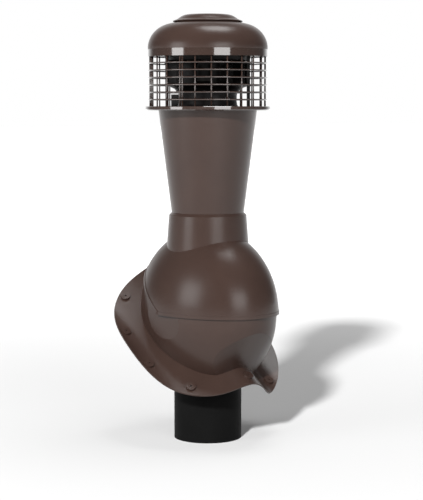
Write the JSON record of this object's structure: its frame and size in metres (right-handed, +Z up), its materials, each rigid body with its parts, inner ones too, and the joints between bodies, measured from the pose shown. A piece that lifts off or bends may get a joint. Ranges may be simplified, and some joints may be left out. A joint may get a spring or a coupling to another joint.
{
  "type": "roof ventilation pipe",
  "caption": "Roof ventilation pipe: fan head under a round hood with a wire guard, tapered cone, domed base on a wavy pitched flange, duct pipe below.",
  "frame": {"origin": "centre of the open lower end of the duct pipe", "axes": "+Z up along the pipe, -Y down the roof slope, X level across the slope"},
  "size_m": [0.3581, 0.38, 0.9365],
  "materials": {
    "brown_plastic": "satin",
    "black_pipe": "matt",
    "black_rubber": "matt",
    "black_plastic": "satin",
    "brown_enamel": "gloss",
    "plated_steel": "satin",
    "grey_alloy": "cast",
    "dark_steel": "satin"
  },
  "bodies": {
    "housing": {"base_flange": "brown_plastic", "upper_shell": "brown_plastic", "collar_seal": "black_rubber", "duct_pipe": "black_pipe", "outer_cone": "brown_plastic", "base_plate": "brown_enamel", "inlet_nozzle": "black_plastic", "nozzle_screws": "plated_steel", "guard_rings": "brown_enamel", "guard_bars": "brown_enamel", "top_band": "brown_enamel", "hood": "brown_plastic", "top_cap": "brown_plastic", "motor_plate": "dark_steel", "posts": "plated_steel", "post_screws": "plated_steel", "motor_flange": "grey_alloy", "bearings": "plated_steel", "stator": "dark_steel", "motor_screws": "plated_steel", "terminal_box": "black_plastic", "terminal_lid": "black_plastic", "lid_screws": "plated_steel", "cable_gland": "black_plastic"},
    "rotor": {"shaft": "plated_steel", "rotor_can": "dark_steel", "impeller": "black_plastic", "impeller_screws": "plated_steel"}
  },
  "joints": [
    {"name": "rotor_spin", "type": "hinge", "parent": "housing", "child": "rotor", "pos_m": [0, 0, 0.8], "axis": [0, 0, 1], "continuous": true}
  ]
}
